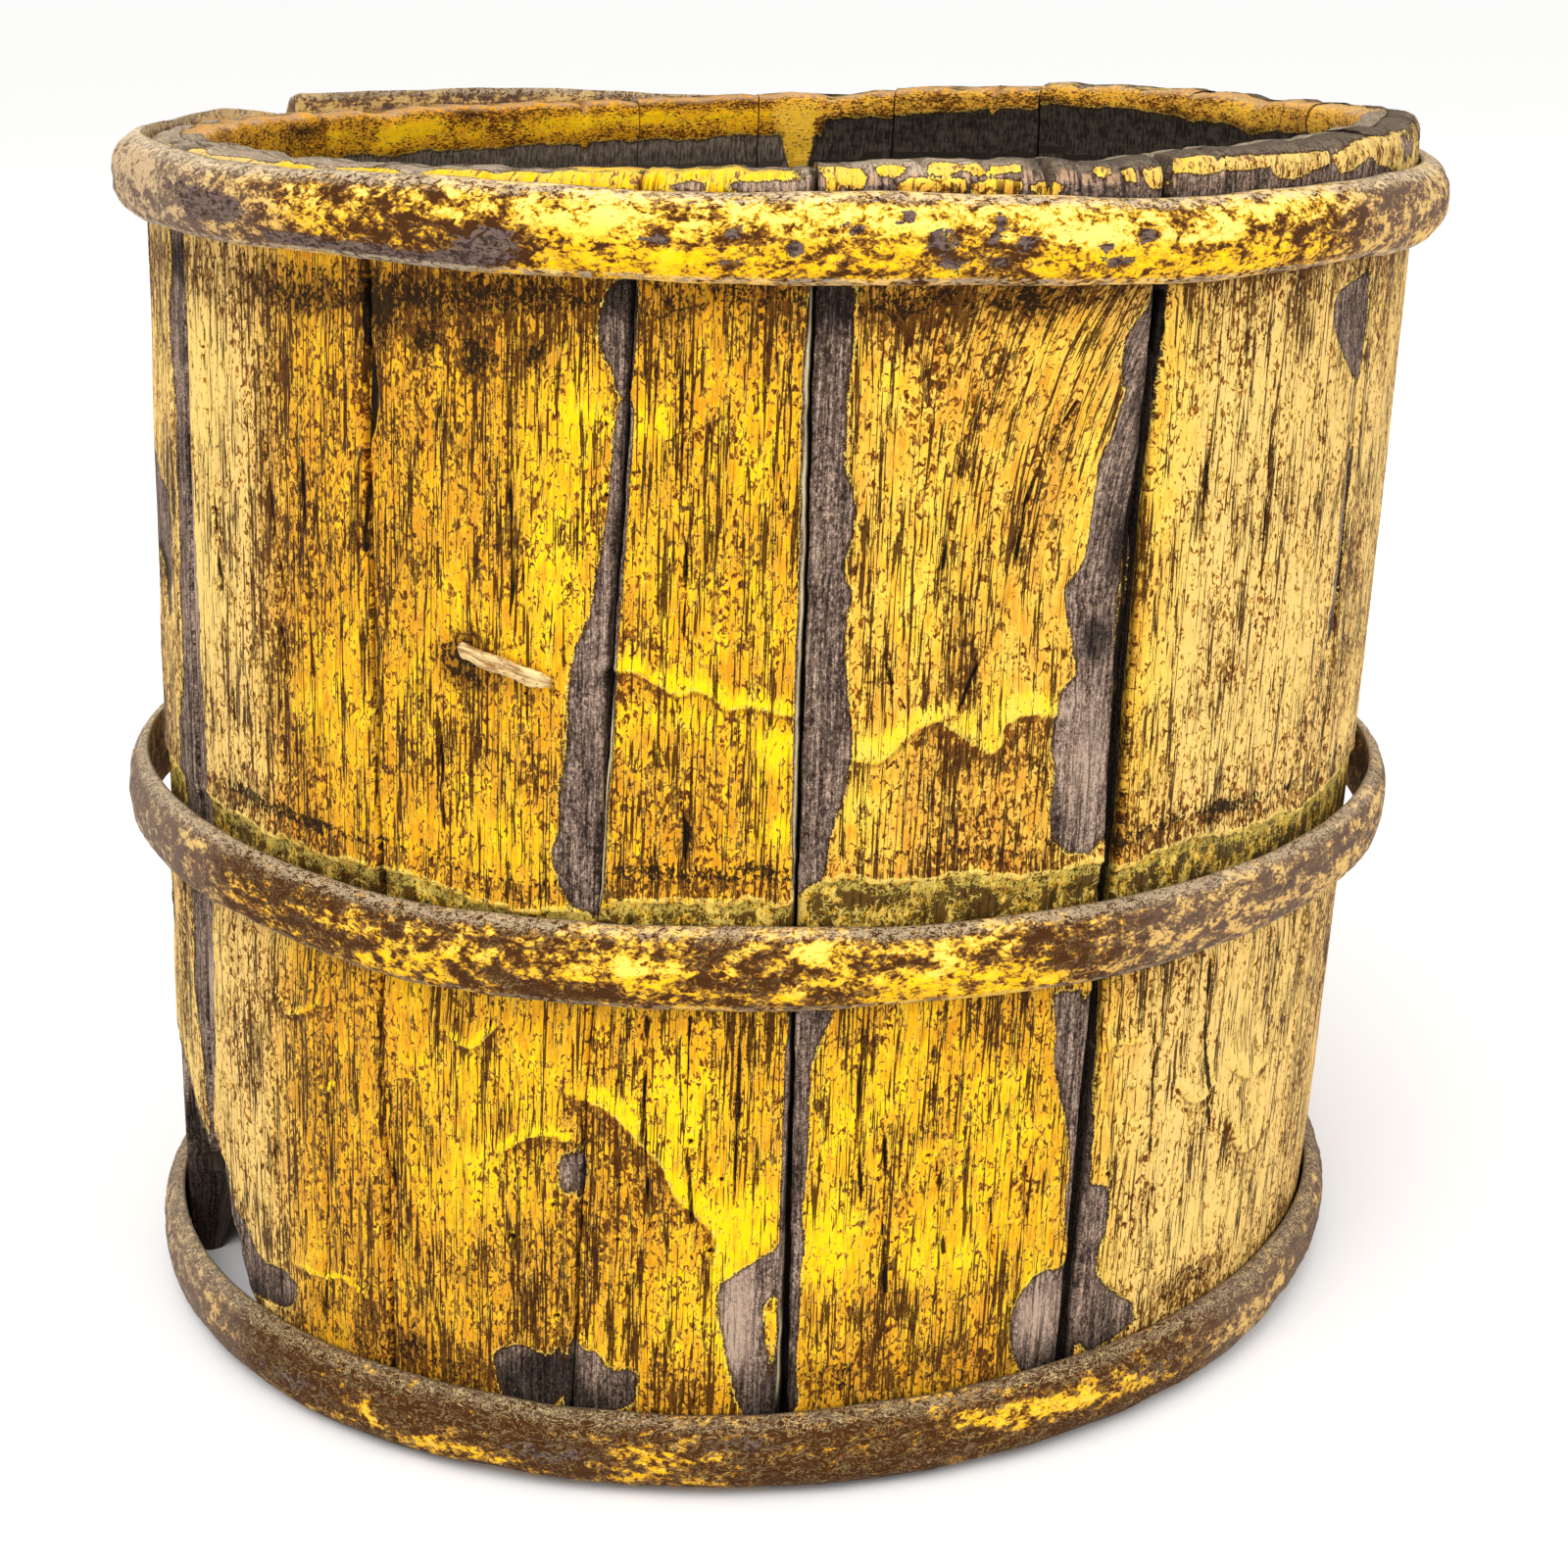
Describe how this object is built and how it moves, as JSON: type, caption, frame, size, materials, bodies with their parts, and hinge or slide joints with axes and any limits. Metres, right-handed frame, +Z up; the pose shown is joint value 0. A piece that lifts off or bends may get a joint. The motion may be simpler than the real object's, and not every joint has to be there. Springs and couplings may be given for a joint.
{
  "type": "staved wooden berry bucket",
  "caption": "Small round coopered bucket of worn yellow-painted staves with lapped half-round wooden hoops and a boarded bottom; open at the top, one stave broken at the foot.",
  "frame": {"origin": "centre of the bounding box at the floor, under the middle of the bucket", "axes": "+Z up, -Y the side the picture faces, +X to the right in it"},
  "size_m": [0.2436, 0.2344, 0.2141],
  "materials": {
    "painted_wood": "worn chrome-yellow paint over weathered wood",
    "hoop_wood": "split sapling, worn yellow and brown paint",
    "bare_wood": "bare weathered wood",
    "pale_wood": "pale raw splinter",
    "rusty_iron": "small rusty tacks"
  },
  "bodies": {
    "root": {"front_narrow_stave": "painted_wood", "front_right_stave": "painted_wood", "right_front_stave": "painted_wood", "right_near_stave": "painted_wood", "right_middle_stave": "painted_wood", "right_far_stave": "painted_wood", "right_rear_stave": "painted_wood", "rear_right_stave": "painted_wood", "rear_middle_right_stave": "painted_wood", "rear_middle_left_stave": "painted_wood", "rear_left_stave": "painted_wood", "left_rear_stave": "painted_wood", "left_far_stave": "painted_wood", "left_middle_stave": "painted_wood", "left_broken_stave": "painted_wood", "left_front_stave": "painted_wood", "front_left_stave": "painted_wood", "top_hoop": "hoop_wood", "middle_hoop": "hoop_wood", "bottom_hoop": "hoop_wood", "bottom_board_left": "bare_wood", "bottom_board_middle": "bare_wood", "bottom_board_right": "bare_wood", "bottom_dowel_1": "bare_wood", "bottom_dowel_2": "bare_wood", "bottom_dowel_3": "bare_wood", "bottom_dowel_4": "bare_wood", "face_splinter": "pale_wood", "hoop_tack_1": "rusty_iron", "hoop_tack_2": "rusty_iron", "hoop_tack_3": "rusty_iron", "hoop_tack_4": "rusty_iron", "hoop_tack_5": "rusty_iron", "hoop_tack_6": "rusty_iron"}
  },
  "joints": []
}
